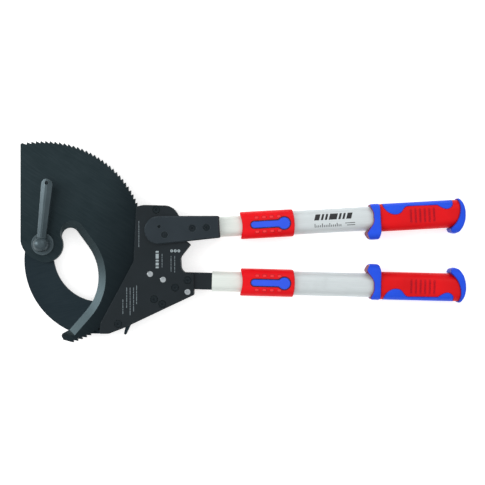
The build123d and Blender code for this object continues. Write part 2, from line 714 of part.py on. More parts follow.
def oval(size, inset=0.0):
    return SlotOverall(size[0] - 2 * inset, size[1] - 2 * inset)


def tube(handle, name, size, wall, start, end):
    with BuildPart() as piece:
        with BuildSketch(section_plane(handle, start)):
            oval(size)
            SlotOverall(size[0] - 2 * wall, size[1] - 2 * wall, mode=Mode.SUBTRACT)
        extrude(amount=end - start)
    finish(piece, name)


def guide_bush(handle):
    """A flanged plug in the inner tube's end that runs in the outer tube."""
    bore = (OUTER_TUBE[0] - 2 * OUTER_WALL, OUTER_TUBE[1] - 2 * OUTER_WALL)
    with BuildPart() as bush:
        with BuildSketch(section_plane(handle, INNER_TUBE_END - GUIDE_LENGTH)):
            oval(INNER_TUBE, INNER_WALL)
        extrude(amount=GUIDE_LENGTH)
        with BuildSketch(section_plane(handle, INNER_TUBE_END)):
            oval(bore, GUIDE_GAP)
        extrude(amount=GUIDE_LENGTH)
    finish(bush, f"{handle}_guide_bush")


tube("upper", "upper_inner_tube", INNER_TUBE, INNER_WALL, LEVER_END_S, INNER_TUBE_END)
tube("lower", "lower_inner_tube", INNER_TUBE, INNER_WALL, LOWER_TUBE_S, INNER_TUBE_END)
guide_bush("upper")
guide_bush("lower")

# The block carries the upper tube between the lever plates, on a tongue inside it.
with BuildPart() as upper_handle_block:
    with BuildSketch(plan_plane("upper", LEVER_GAP_Z[0])):
        with BuildLine():
            Polyline(
                (BLOCK_START_S, -17.8), (LEVER_END_S, -15.7), (LEVER_END_S, 15.7),
                (BLOCK_START_S, 17.8), close=True,
            )
        make_face()
        with Locations(*screw_spots):
            Circle(SCREW_R + LOOSE_FIT, mode=Mode.SUBTRACT)
    extrude(amount=depth_of(LEVER_GAP_Z))
    with BuildSketch(section_plane("upper", LEVER_END_S)):
        oval(INNER_TUBE, INNER_WALL)
    extrude(amount=TONGUE_LENGTH)
finish(upper_handle_block, "upper_handle_block")

with BuildPart() as lower_bar:
    with BuildSketch(section_plane("lower", BAR_START_S)):
        Rectangle(BAR_HEIGHT, BAR_THICKNESS)
    extrude(amount=LOWER_TUBE_S - BAR_START_S)
    with BuildSketch(section_plane("lower", LOWER_TUBE_S)):
        oval(INNER_TUBE, INNER_WALL)
    extrude(amount=TONGUE_LENGTH)
    with BuildSketch(layer(JAW_Z)):
        with Locations(BAR_SCREW):
            Circle(SCREW_R + LOOSE_FIT)
        with Locations(DOWEL):
            Circle(BRIGHT_PIN_R)
    extrude(amount=BAR_THICKNESS, mode=Mode.SUBTRACT)
finish(lower_bar, "lower_bar")


def keyhole(margin):
    """Plan of the latch, larger by margin: a bar with a round pad at its rear end."""
    with BuildSketch() as shape:
        with Locations((LATCH_S[0], 0)):
            Circle(LATCH_BAR_R + margin)
            Rectangle(
                LATCH_S[1] - LATCH_S[0], 2 * (LATCH_BAR_R + margin), align=(Align.MIN, Align.CENTER)
            )
        with Locations((LATCH_S[1], 0)):
            Circle(LATCH_KNOB_R + margin)
        neck = shape.vertices().filter_by_position(Axis.X, LATCH_S[1] - LATCH_KNOB_R, LATCH_S[1] - 2)
        fillet(neck, LATCH_BAR_R)
    return shape.sketch


def clamp_housing(handle):
    half = CLAMP_HEIGHT / 2
    front, rear = CLAMP_S
    with BuildPart() as housing:
        with BuildSketch(plan_plane(handle, HANDLE_Z - CLAMP_DEPTH / 2)) as outline:
            with BuildLine():
                ThreePointArc((front, half), (front + CLAMP_BOWS[0], 0), (front, -half))
                Line((front, -half), (rear, -half))
                ThreePointArc((rear, -half), (rear + CLAMP_BOWS[1], 0), (rear, half))
                Line((rear, half), (front, half))
            make_face()
            fillet(outline.vertices(), CLAMP_TIP_R)
        extrude(amount=CLAMP_DEPTH)
        with BuildSketch(section_plane(handle, front - 1)):
            RectangleRounded(CLAMP_HEIGHT, CLAMP_DEPTH, CLAMP_CORNER)
        extrude(amount=rear - front + CLAMP_BOWS[1] + 2, mode=Mode.INTERSECT)
        with BuildSketch(section_plane(handle, front - 1)):
            oval(INNER_TUBE, -CLAMP_BORE_GAP)
        extrude(amount=rear - front, mode=Mode.SUBTRACT)
        with BuildSketch(section_plane(handle, OUTER_TUBE_START)):
            oval(OUTER_TUBE)
        extrude(amount=rear - front, mode=Mode.SUBTRACT)
        rib_steps = [RIB_START_S + RIB_PITCH * k for k in range(RIB_COUNT)]
        rib_spots = [(s, side * RIB_T) for s in rib_steps for side in (-1, 1)]
        rib_top = HANDLE_Z + CLAMP_DEPTH / 2 + RIB_HEIGHT / 2
        with BuildSketch(plan_plane(handle, rib_top - 3)):
            with Locations(*rib_spots):
                RectangleRounded(*RIB_SIZE, 1.2)
        extrude(amount=3)
        with BuildSketch(plan_plane(handle, HANDLE_Z)):
            add(keyhole(LATCH_GAP))
        extrude(amount=CLAMP_DEPTH, mode=Mode.SUBTRACT)
        add(latch_pin_solid(handle), mode=Mode.SUBTRACT)
    finish(housing, f"{handle}_clamp_housing")


def latch_axis_plane(handle, t):
    """Plane across the latch's axis at t: its normal is the axis."""
    base = HANDLES[handle][0]
    origin = base.from_local_coords(Vector(LATCH_AXIS_S, t, LATCH_AXIS_Z))
    return Plane(origin=origin, x_dir=base.x_dir, z_dir=base.y_dir)


def latch_pin_solid(handle):
    with BuildPart() as pin:
        with BuildSketch(latch_axis_plane(handle, -LATCH_PIN_REACH)):
            Circle(LATCH_PIN_R)
        extrude(amount=2 * LATCH_PIN_REACH)
    return pin.part


def latch_pin(handle):
    with BuildPart() as pin:
        add(latch_pin_solid(handle))
    finish(pin, f"{handle}_latch_pin")


def latch_spring(handle):
    """Two short torsion coils on the pin, one each side of the latch's lug."""
    with BuildPart() as spring:
        for t in LATCH_SPRING_T:
            for side in (-1, 1):
                with Locations(latch_axis_plane(handle, side * t).location):
                    Torus(LATCH_SPRING_R, LATCH_WIRE_R)
    finish(spring, f"{handle}_latch_spring")


def latch(handle):
    with BuildPart() as rocker:
        with BuildSketch(plan_plane(handle, LATCH_FLOOR_Z)):
            add(keyhole(0))
        extrude(amount=LATCH_T)
        fillet(rocker.faces().sort_by(Axis.Z)[-1].edges(), EDGE_BREAK)
        with BuildSketch(plan_plane(handle, LATCH_AXIS_Z)):
            with Locations((LATCH_AXIS_S, 0)):
                Rectangle(2 * LATCH_LUG_R, LATCH_LUG_WIDTH)
        extrude(amount=LATCH_FLOOR_Z - LATCH_AXIS_Z)
        with BuildSketch(latch_axis_plane(handle, -LATCH_LUG_WIDTH / 2)):
            Circle(LATCH_LUG_R)
        extrude(amount=LATCH_LUG_WIDTH)
        with BuildSketch(latch_axis_plane(handle, -LATCH_LUG_WIDTH)):
            Circle(LATCH_PIN_R + RUNNING_FIT)
        extrude(amount=2 * LATCH_LUG_WIDTH, mode=Mode.SUBTRACT)
    finish(rocker, f"{handle}_latch")


def brake_shoe(handle):
    """The pad under the latch's front end, just clear of the inner tube."""
    floor_z = HANDLE_Z + INNER_TUBE[1] / 2 + SHOE_GAP
    with BuildPart() as shoe:
        with BuildSketch(plan_plane(handle, floor_z)):
            with Locations((SHOE_S[0], 0)):
                Rectangle(SHOE_S[1] - SHOE_S[0], SHOE_WIDTH, align=(Align.MIN, Align.CENTER))
        extrude(amount=LATCH_FLOOR_Z - floor_z)
    finish(shoe, f"{handle}_brake_shoe")


def inlay_solid(handle):
    """The blue palm inlay: a skin on the grip's outer side, with two lobes."""
    top = facing(handle, [(LOBE_TWO[-1][0] + 1, LOBE_TOP_T), (LOBE_ONE[0][0] - 1, LOBE_TOP_T)])
    one = facing(handle, LOBE_ONE)
    two = facing(handle, LOBE_TWO)
    length = GRIP_S[1] - GRIP_S[0]
    with BuildPart() as skin:
        with BuildSketch(plan_plane(handle, 0)):
            with BuildLine():
                Spline(*one)
                Line(one[-1], two[0])
                Spline(*two)
                Polyline(two[-1], *top, one[0])
            make_face()
        extrude(amount=2 * HANDLE_Z)
        with BuildSketch(section_plane(handle, GRIP_S[0])):
            RectangleRounded(
                GRIP_HEIGHT + 2 * INLAY_PROUD, GRIP_DEPTH + 2 * INLAY_PROUD, GRIP_CORNER + INLAY_PROUD
            )
            RectangleRounded(
                GRIP_HEIGHT - 2 * INLAY_DEPTH, GRIP_DEPTH - 2 * INLAY_DEPTH,
                GRIP_CORNER - INLAY_DEPTH, mode=Mode.SUBTRACT,
            )
        extrude(amount=length, mode=Mode.INTERSECT)
    return skin.part


def grip_inlay(handle):
    with BuildPart() as inlay:
        add(inlay_solid(handle))
    finish(inlay, f"{handle}_grip_inlay")


def grip_body(handle):
    front = GRIP_S[0]
    side = HANDLES[handle][1]
    half = GRIP_HEIGHT / 2
    rear = facing(handle, CAP_FRONT)
    with BuildPart() as grip:
        with BuildSketch(plan_plane(handle, HANDLE_Z - GRIP_DEPTH / 2)):
            with BuildLine():
                ThreePointArc(*rear)
                Polyline(rear[-1], (front, side * CAP_T[1]), (front, rear[0][1]), rear[0])
            make_face()
        extrude(amount=GRIP_DEPTH)
        with BuildSketch(section_plane(handle, front)):
            RectangleRounded(2 * half, GRIP_DEPTH, GRIP_CORNER)
        extrude(amount=GRIP_S[1] - front, mode=Mode.INTERSECT)
        with BuildSketch(section_plane(handle, front)):
            oval(OUTER_TUBE)
        extrude(amount=OUTER_TUBE_END - front, mode=Mode.SUBTRACT)
        groove_spots = [(GROOVE_S + GROOVE_PITCH * k, 0) for k in range(GROOVE_COUNT)]
        for face_z in (HANDLE_Z - GRIP_DEPTH / 2, HANDLE_Z + GRIP_DEPTH / 2 - GROOVE_DEPTH):
            with BuildSketch(plan_plane(handle, face_z)):
                with Locations(*groove_spots):
                    SlotOverall(2 * GROOVE_HALF, GROOVE_WIDTH, rotation=90)
            extrude(amount=GROOVE_DEPTH, mode=Mode.SUBTRACT)
        add(inlay_solid(handle), mode=Mode.SUBTRACT)
    finish(grip, f"{handle}_grip_body")


def grip_guard(handle):
    """The collar in front of the grip. Its long side guards the fingers."""
    side = HANDLES[handle][1]
    corners = facing(handle, [corner for corner, _ in GUARD_CORNERS])
    with BuildPart() as guard:
        with BuildSketch(plan_plane(handle, HANDLE_Z - GUARD_DEPTH / 2)):
            with BuildLine():
                FilletPolyline(*corners, radius=[r for _, r in GUARD_CORNERS], close=True)
            make_face()
        extrude(amount=GUARD_DEPTH)
        with BuildSketch(section_plane(handle, GUARD_CORNERS[5][0][0] - 1)):
            with Locations((side * sum(GUARD_T) / 2, 0)):
                RectangleRounded(GUARD_T[1] - GUARD_T[0], GUARD_DEPTH, GUARD_CORNER)
        extrude(amount=30, mode=Mode.INTERSECT)
        with BuildSketch(section_plane(handle, GUARD_CORNERS[5][0][0] - 1)):
            oval(OUTER_TUBE)
        extrude(amount=30, mode=Mode.SUBTRACT)
    finish(guard, f"{handle}_grip_guard")


def grip_end_cap(handle):
    """The crescent that closes the grip and stands proud on its inner side."""
    side = HANDLES[handle][1]
    rear = facing(handle, CAP_REAR)
    tip = facing(handle, CAP_TIP)
    front = facing(handle, CAP_FRONT)
    with BuildPart() as cap:
        with BuildSketch(plan_plane(handle, HANDLE_Z - GUARD_DEPTH / 2)):
            with BuildLine():
                ThreePointArc(*rear)
                Polyline(rear[-1], *tip, front[0])
                ThreePointArc(*front)
                Line(front[-1], rear[0])
            make_face()
        extrude(amount=GUARD_DEPTH)
        with BuildSketch(section_plane(handle, CAP_TIP[1][0] - 3)):
            with Locations((side * sum(CAP_T) / 2, 0)):
                RectangleRounded(CAP_T[1] - CAP_T[0], GUARD_DEPTH, CAP_CORNER)
        extrude(amount=30, mode=Mode.INTERSECT)
    finish(cap, f"{handle}_grip_end_cap")


def tube_plug(handle):
    with BuildPart() as plug:
        with BuildSketch(section_plane(handle, OUTER_TUBE_END - PLUG_LENGTH)):
            oval(OUTER_TUBE, OUTER_WALL)
        extrude(amount=PLUG_LENGTH)
    finish(plug, f"{handle}_tube_plug")


for handle in HANDLES:
    tube(
        handle, f"{handle}_outer_tube", OUTER_TUBE, OUTER_WALL, OUTER_TUBE_START, OUTER_TUBE_END
    )
    clamp_housing(handle)
    latch_pin(handle)
    latch_spring(handle)
    latch(handle)
    brake_shoe(handle)
    grip_inlay(handle)
    grip_body(handle)
    grip_guard(handle)
    grip_end_cap(handle)
    tube_plug(handle)

# ================================================================ pawls
drive_nose = shift(DRIVE_PIN, NOSE_REACH - PAWL_TIP_R, DRIVE_NOSE_ANGLE)
with BuildPart() as drive_pawl:
    with BuildSketch(layer(BLADE_Z)):
        with Locations(DRIVE_PIN):
            Circle(DRIVE_BOSS_R)
        with Locations(drive_nose):
            Circle(PAWL_TIP_R)
        make_hull()
        with Locations(DRIVE_PIN):
            Circle(DRIVE_PIN_R + RUNNING_FIT, mode=Mode.SUBTRACT)
    extrude(amount=depth_of(BLADE_Z))
    with BuildSketch(Plane.XY.offset(BLADE_Z[1] - 3)):
        with Locations(DRIVE_PIN):
            Circle(DRIVE_SPRING_POCKET_R)
    extrude(amount=3, mode=Mode.SUBTRACT)
finish(drive_pawl, "drive_pawl")

with BuildPart() as drive_pawl_spring:
    with Locations(*[(*DRIVE_PIN, BLADE_Z[1] - drop) for drop in (0.8, 1.7)]):
        Torus(DRIVE_PIN_R + 0.15 + DRIVE_SPRING_WIRE_R, DRIVE_SPRING_WIRE_R)
finish(drive_pawl_spring, "drive_pawl_spring")

with BuildPart() as holding_pawl:
    with BuildSketch(layer(BLADE_Z)):
        with Locations(HOLD_PIN):
            Circle(PAWL_BOSS_R)
        with Locations(HOLD_ELBOW):
            Circle(HOLD_ELBOW_R)
        make_hull()
    with BuildSketch(layer(BLADE_Z)):
        with Locations(HOLD_ELBOW):
            Circle(HOLD_ELBOW_R)
        with Locations(HOLD_NOSE):
            Circle(PAWL_TIP_R / 2)
        make_hull()
    with BuildSketch(layer(BLADE_Z)):
        with Locations(HOLD_ELBOW):
            Circle(HOLD_ELBOW_R - 0.4)
        with Locations(TAIL_KNEE):
            Circle(TAIL_KNEE_R)
        make_hull()
    with BuildSketch(layer(BLADE_Z)):
        with Locations(TAIL_KNEE):
            Circle(TAIL_KNEE_R)
        with Locations(TAIL_END):
            Circle(TAIL_END_R)
        make_hull()
    extrude(amount=depth_of(BLADE_Z))
    with BuildSketch(layer(BLADE_Z)):
        with Locations(HOLD_PIN):
            Circle(BRIGHT_PIN_R + RUNNING_FIT)
    extrude(amount=depth_of(BLADE_Z), mode=Mode.SUBTRACT)
finish(holding_pawl, "holding_pawl")
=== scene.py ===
import json
from math import atan2, cos, degrees, pi, radians, sin, tau

import bmesh
import bpy
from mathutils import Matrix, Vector

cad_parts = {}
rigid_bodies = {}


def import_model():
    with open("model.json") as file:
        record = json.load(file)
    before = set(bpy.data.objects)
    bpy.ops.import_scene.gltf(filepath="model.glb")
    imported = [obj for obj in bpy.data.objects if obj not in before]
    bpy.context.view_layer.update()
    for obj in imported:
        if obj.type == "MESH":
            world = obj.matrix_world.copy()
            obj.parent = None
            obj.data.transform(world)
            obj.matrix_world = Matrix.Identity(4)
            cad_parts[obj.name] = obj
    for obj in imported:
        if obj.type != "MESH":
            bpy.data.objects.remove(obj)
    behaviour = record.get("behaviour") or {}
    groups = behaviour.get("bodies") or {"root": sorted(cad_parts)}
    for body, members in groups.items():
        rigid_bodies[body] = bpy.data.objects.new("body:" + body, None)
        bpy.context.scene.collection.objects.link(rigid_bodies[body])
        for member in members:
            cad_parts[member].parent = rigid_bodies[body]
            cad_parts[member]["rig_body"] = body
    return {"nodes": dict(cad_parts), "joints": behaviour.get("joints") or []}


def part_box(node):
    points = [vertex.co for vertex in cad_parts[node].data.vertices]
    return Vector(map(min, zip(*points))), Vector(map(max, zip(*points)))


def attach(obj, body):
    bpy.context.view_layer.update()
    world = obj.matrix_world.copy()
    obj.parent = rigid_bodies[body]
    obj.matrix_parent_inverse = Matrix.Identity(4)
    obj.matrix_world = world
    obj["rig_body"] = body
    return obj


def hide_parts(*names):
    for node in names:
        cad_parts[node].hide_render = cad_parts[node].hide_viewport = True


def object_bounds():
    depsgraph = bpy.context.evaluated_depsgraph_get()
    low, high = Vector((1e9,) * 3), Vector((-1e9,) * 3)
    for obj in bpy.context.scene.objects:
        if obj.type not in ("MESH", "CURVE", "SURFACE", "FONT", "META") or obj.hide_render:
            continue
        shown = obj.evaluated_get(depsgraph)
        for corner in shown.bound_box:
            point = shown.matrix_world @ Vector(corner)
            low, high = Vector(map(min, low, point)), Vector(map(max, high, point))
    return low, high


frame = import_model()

cad_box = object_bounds()
nodes = frame["nodes"]
joints = {joint["name"]: joint for joint in frame["joints"]}
MM = 0.001
# Each handle's own frame: where its axis starts in metres, and its angle in the plan.
HANDLE_FRAMES = {
    "upper": (Vector((0.177, 0.021, 0.020)), radians(3.2)),
    "lower": (Vector((0.177, -0.0548, 0.020)), radians(-1.45)),
}

# ---------------------------------------------------------------- material kit
# The numbers of the Mix node's colour sockets, because their names repeat.
MIX_FIRST = 6
MIX_SECOND = 7
MIX_RESULT = 2
BEVEL_SAMPLES = 6


def set_range(fit, *limits):
    """The four limits of a Map Range node: from low, from high, to low, to high."""
    for key, number in zip(("From Min", "From Max", "To Min", "To Max"), limits):
        fit.inputs[key].default_value = number


class Shade:
    """A node material with a Principled shader and short calls for what feeds it."""

    def __init__(self, name, metallic, roughness, coat=0.0, specular=0.5):
        self.material = bpy.data.materials.new(name)
        self.material.use_nodes = True
        self.tree = self.material.node_tree
        self.shader = self.tree.nodes["Principled BSDF"]
        self.shader.inputs["Metallic"].default_value = metallic
        self.shader.inputs["Roughness"].default_value = roughness
        self.shader.inputs["Coat Weight"].default_value = coat
        self.shader.inputs["Specular IOR Level"].default_value = specular
        self.place = self.node("ShaderNodeTexCoord").outputs["Object"]

    def node(self, kind, **settings):
        made = self.tree.nodes.new(kind)
        for key, value in settings.items():
            setattr(made, key, value)
        return made

    def link(self, source, target):
        self.tree.links.new(source, target)

    def stretched(self, scale, turn):
        """Object coordinates turned about Z by turn degrees, then scaled."""
        mapping = self.node("ShaderNodeMapping", vector_type="POINT")
        spin = self.node("ShaderNodeVectorRotate", rotation_type="Z_AXIS")
        spin.inputs["Angle"].default_value = -radians(turn)
        self.link(self.place, spin.inputs["Vector"])
        self.link(spin.outputs["Vector"], mapping.inputs["Vector"])
        mapping.inputs["Scale"].default_value = scale
        return mapping.outputs["Vector"]

    def noise(self, scale, detail=4.0, rough=0.55, at=None):
        grain = self.node("ShaderNodeTexNoise")
        grain.inputs["Scale"].default_value = scale
        grain.inputs["Detail"].default_value = detail
        grain.inputs["Roughness"].default_value = rough
        self.link(at or self.place, grain.inputs["Vector"])
        return grain.outputs["Fac"]

    def cells(self, scale):
        pits = self.node("ShaderNodeTexVoronoi")
        pits.inputs["Scale"].default_value = scale
        self.link(self.place, pits.inputs["Vector"])
        return pits.outputs["Distance"]

    def spread(self, value, low, high, to_low, to_high):
        """value, fitted from low..high onto to_low..to_high and clamped."""
        fit = self.node("ShaderNodeMapRange")
        set_range(fit, low, high, to_low, to_high)
        self.link(value, fit.inputs["Value"])
        return fit.outputs["Result"]

    def mix(self, amount, first, second):
        blend = self.node("ShaderNodeMix", data_type="RGBA")
        self.link(amount, blend.inputs["Factor"])
        for socket, colour in ((MIX_FIRST, first), (MIX_SECOND, second)):
            if isinstance(colour, tuple):
                blend.inputs[socket].default_value = (*colour, 1)
            else:
                self.link(colour, blend.inputs[socket])
        return blend.outputs[MIX_RESULT]

    def edges(self, radius, flat=0.985, edge=0.90):
        """1 along convex and concave edges within radius metres, 0 on flats.

        flat and edge are cosines of the angle between the rounded and the true normal.
        """
        bevel = self.node("ShaderNodeBevel", samples=BEVEL_SAMPLES)
        bevel.inputs["Radius"].default_value = radius
        normal = self.node("ShaderNodeNewGeometry").outputs["Normal"]
        dot = self.node("ShaderNodeVectorMath", operation="DOT_PRODUCT")
        self.link(bevel.outputs["Normal"], dot.inputs[0])
        self.link(normal, dot.inputs[1])
        return self.spread(dot.outputs["Value"], flat, edge, 0, 1)

    def times(self, first, second):
        product = self.node("ShaderNodeMath", operation="MULTIPLY")
        for socket, value in zip(product.inputs, (first, second)):
            if isinstance(value, float):
                socket.default_value = value
            else:
                self.link(value, socket)
        return product.outputs["Value"]

    def plus(self, first, second):
        total = self.node("ShaderNodeMath", operation="ADD")
        self.link(first, total.inputs[0])
        self.link(second, total.inputs[1])
        return total.outputs["Value"]

    def bump(self, height, strength, distance):
        relief = self.node("ShaderNodeBump")
        relief.inputs["Strength"].default_value = strength
        relief.inputs["Distance"].default_value = distance
        self.link(height, relief.inputs["Height"])
        self.link(relief.outputs["Normal"], self.shader.inputs["Normal"])

    def colour(self, value):
        self.link(value, self.shader.inputs["Base Color"])

    def roughness(self, value):
        self.link(value, self.shader.inputs["Roughness"])


# ---------------------------------------------------------------- materials
# How far wear reaches in from an edge, in metres.
STEEL_WEAR = 0.0007
PAINT_WEAR = 0.0009
CAST_WEAR = 0.0012
CAST_WORN = (0.17, 0.22, 0.24)
# The part of the blade that runs between the side plates carries a painted dark reflection, which
# stands for dark surroundings mirrored in the steel near the plates. It grows darker along this
# direction, between two distances from the pivot in metres.
REFLECTION_WAY = (0.94, -0.34, 0.0)
REFLECTION_REACH = (0.055, 0.135)
REFLECTION_COVER = 0.72
REFLECTION_BLACK = (0.0030, 0.0050, 0.0070)


def dark_steel(name, base, light, worn, turn, streak=0.35, rough=(0.38, 0.52), dark_reflection=False):
    """Blackened steel with a directional grind, faint blotches and brighter edges."""
    steel = Shade(name, metallic=0.92, roughness=0.42, specular=0.2)
    along = steel.stretched((1.0, 26.0, 26.0), turn)
    grind = steel.noise(scale=38, detail=6, rough=0.7, at=along)
    blotch = steel.noise(scale=11, detail=5, rough=0.6)
    shade = steel.mix(steel.spread(blotch, 0.35, 0.68, 0, 1), base, light)
    shade = steel.mix(steel.times(steel.spread(grind, 0.42, 0.7, 0, 1), streak), shade, worn)
    patchy = steel.spread(steel.noise(scale=260), 0.3, 0.6, 0.15, 0.75)
    shade = steel.mix(steel.times(steel.edges(STEEL_WEAR), patchy), shade, worn)
    # Painted reflection: a dark band across the blade near the side plates, mixed into the colour.
    if dark_reflection:
        reach = steel.node("ShaderNodeVectorMath", operation="DOT_PRODUCT")
        reach.inputs[1].default_value = REFLECTION_WAY
        steel.link(steel.place, reach.inputs[0])
        reflection_fade = steel.spread(reach.outputs["Value"], *REFLECTION_REACH, 0, REFLECTION_COVER)
        shade = steel.mix(reflection_fade, shade, REFLECTION_BLACK)
    steel.colour(shade)
    steel.roughness(steel.spread(grind, 0.3, 0.75, *rough))
    relief = steel.plus(grind, steel.times(steel.noise(scale=900, detail=3), 0.4))
    steel.bump(relief, strength=0.22, distance=0.00012)
    return steel.material


def painted_lever(name, base, light, worn):
    """Satin black enamel over a cast or forged skin."""
    paint = Shade(name, metallic=0.35, roughness=0.45, coat=0.06, specular=0.25)
    peel = paint.noise(scale=420, detail=5, rough=0.6)
    blotch = paint.noise(scale=16)
    shade = paint.mix(paint.spread(blotch, 0.35, 0.65, 0, 1), base, light)
    patchy = paint.spread(paint.noise(scale=210, detail=5), 0.35, 0.62, 0.1, 0.8)
    paint.colour(paint.mix(paint.times(paint.edges(PAINT_WEAR), patchy), shade, worn))
    paint.roughness(paint.spread(peel, 0.3, 0.7, 0.36, 0.52))
    paint.bump(peel, strength=0.25, distance=0.00014)
    return paint.material


def cast_metal(name, base, light):
    """Bare casting with a grainy skin and edges rubbed brighter."""
    metal = Shade(name, metallic=0.6, roughness=0.4)
    skin = metal.noise(scale=330, detail=6, rough=0.65)
    shade = metal.mix(metal.spread(metal.noise(scale=30), 0.35, 0.65, 0, 1), base, light)
    metal.colour(metal.mix(metal.times(metal.edges(CAST_WEAR), 0.55), shade, CAST_WORN))
    metal.roughness(metal.spread(skin, 0.3, 0.7, 0.3, 0.48))
    metal.bump(skin, strength=0.3, distance=0.0002)
    return metal.material


def ground_pin(name, colour, dark):
    """Bright steel or bronze with a fine grain and a few dull spots."""
    pin = Shade(name, metallic=1.0, roughness=0.28)
    grain = pin.noise(scale=1500, detail=3)
    pin.colour(pin.mix(pin.spread(pin.noise(scale=240), 0.4, 0.75, 0, 1), colour, dark))
    pin.roughness(pin.spread(grain, 0.3, 0.7, 0.2, 0.36))
    pin.bump(grain, strength=0.12, distance=0.00005)
    return pin.material


def anodised_tube(name, turn, base, light, rough):
    """Drawn aluminium: hairlines along the tube, soft satin skin, faint handling marks."""
    tube = Shade(name, metallic=0.35, roughness=0.5, specular=0.3)
    along = tube.stretched((1.0, 60.0, 60.0), turn)
    hairs = tube.noise(scale=30, detail=7, rough=0.75, at=along)
    marks = tube.noise(scale=22, detail=5)
    shade = tube.mix(tube.spread(hairs, 0.35, 0.65, 0, 1), base, light)
    darker = tuple(0.8 * c for c in base)
    tube.colour(tube.mix(tube.spread(marks, 0.58, 0.74, 0, 0.35), shade, darker))
    tube.roughness(tube.spread(hairs, 0.3, 0.7, *rough))
    tube.bump(hairs, strength=0.14, distance=0.00008)
    return tube.material


def moulded(
    name, base, deep, line, grain=1500.0, rough=(0.36, 0.48), depth=0.00010, shade_line_width=0.0014
):
    """Injection moulded plastic: spark-eroded grain, cloudy colour and painted shade in a darker line
    on its edges.
    """
    plastic = Shade(name, metallic=0.0, roughness=0.4, specular=0.16)
    texture = plastic.cells(grain)
    cloud = plastic.noise(scale=24)
    shade = plastic.mix(plastic.spread(cloud, 0.35, 0.7, 0, 1), base, deep)
    patchy = plastic.spread(plastic.noise(scale=300), 0.3, 0.6, 0.6, 0.9)
    # The line colour is painted shade along convex and concave edges, for the dark gaps and grooves
    # between parts.
    rim = plastic.times(plastic.edges(shade_line_width, flat=0.997, edge=0.94), patchy)
    plastic.colour(plastic.mix(rim, shade, line))
    plastic.roughness(plastic.spread(plastic.noise(scale=70), 0.3, 0.7, *rough))
    plastic.bump(texture, strength=0.3, distance=depth)
    return plastic.material


def printed(name, base, light):
    """Pad-printed ink with slightly broken cover."""
    ink = Shade(name, metallic=0.0, roughness=0.55)
    speck = ink.noise(scale=1400)
    ink.colour(ink.mix(ink.spread(speck, 0.45, 0.75, 0, 1), base, light))
    ink.roughness(ink.spread(speck, 0.3, 0.7, 0.45, 0.65))
    ink.bump(speck, strength=0.15, distance=0.00003)
    return ink.material


JAW_STEEL = dark_steel(
    "jaw_steel", (0.013, 0.022, 0.028), (0.018, 0.029, 0.036), (0.040, 0.056, 0.065),
    turn=12, streak=0.25,
)
# The blade carries the painted dark reflection near the side plates.
BLADE_STEEL = dark_steel(
    "blade_steel", (0.015, 0.025, 0.029), (0.021, 0.033, 0.038), (0.046, 0.064, 0.072),
    turn=148, streak=0.3, dark_reflection=True,
)
EDGE_STEEL = dark_steel(
    "bevel_steel", (0.036, 0.053, 0.059), (0.048, 0.068, 0.075), (0.085, 0.115, 0.125),
    turn=62, streak=0.4, rough=(0.36, 0.48),
)
SCREW_BLACK = dark_steel(
    "screw_black", (0.011, 0.016, 0.019), (0.016, 0.022, 0.026), (0.06, 0.075, 0.082),
    turn=0, streak=0.2,
)
PLATE_PAINT = painted_lever(
    "plate_paint", (0.006, 0.011, 0.014), (0.009, 0.015, 0.019), (0.035, 0.048, 0.056)
)
LEVER_PAINT = painted_lever(
    "lever_paint", (0.014, 0.022, 0.029), (0.019, 0.029, 0.037), (0.075, 0.098, 0.11)
)
BAR_PAINT = painted_lever(
    "bar_paint", (0.007, 0.012, 0.016), (0.010, 0.017, 0.021), (0.04, 0.055, 0.063)
)
CAST_GREY = cast_metal("cast_grey", (0.050, 0.074, 0.085), (0.070, 0.099, 0.112))
PIN_STEEL = ground_pin("pin_steel", (0.42, 0.46, 0.48), (0.26, 0.29, 0.31))
SPRING_STEEL = ground_pin("spring_steel", (0.34, 0.35, 0.37), (0.16, 0.17, 0.18))
BRONZE = ground_pin("bronze", (0.50, 0.33, 0.14), (0.28, 0.18, 0.08))
# The third colour of each moulded plastic is painted shade, laid along its edges for the dark gaps
# between parts.
RED = moulded("red_plastic", (0.80, 0.003, 0.009), (0.72, 0.002, 0.007), (0.16, 0.001, 0.006))
# The tops of the clamp's ribs take a lighter copy of the red: a painted highlight.
RIB_HIGHLIGHT_RED = moulded("rib_highlight_red", (0.88, 0.040, 0.045), (0.84, 0.028, 0.034), (0.50, 0.008, 0.012))
BLUE = moulded("blue_plastic", (0.034, 0.105, 0.82), (0.028, 0.088, 0.74), (0.010, 0.010, 0.16))
BLACK_PLASTIC = moulded(
    "black_plastic", (0.012, 0.012, 0.013), (0.02, 0.02, 0.021), (0.004, 0.004, 0.004)
)
# The soft grip plastic has a coarser grain and less gloss than the clamps.
SOFT_TOUCH = {"grain": 1100.0, "rough": (0.42, 0.56)}
RED_GRIP = moulded(
    "red_grip", (0.76, 0.0025, 0.006), (0.66, 0.002, 0.005), (0.14, 0.001, 0.020),
    **SOFT_TOUCH, depth=0.00016, shade_line_width=0.0024,
)
BLUE_GRIP = moulded(
    "blue_grip", (0.016, 0.090, 0.80), (0.012, 0.072, 0.70), (0.014, 0.010, 0.22),
    **SOFT_TOUCH, depth=0.00014, shade_line_width=0.0022,
)
GUARD_RIM = moulded(
    "guard_rim", (0.20, 0.003, 0.030), (0.14, 0.003, 0.026), (0.06, 0.002, 0.02), **SOFT_TOUCH
)
BLUE_RIM = moulded(
    "blue_rim", (0.012, 0.040, 0.42), (0.010, 0.030, 0.34), (0.01, 0.01, 0.2), **SOFT_TOUCH
)
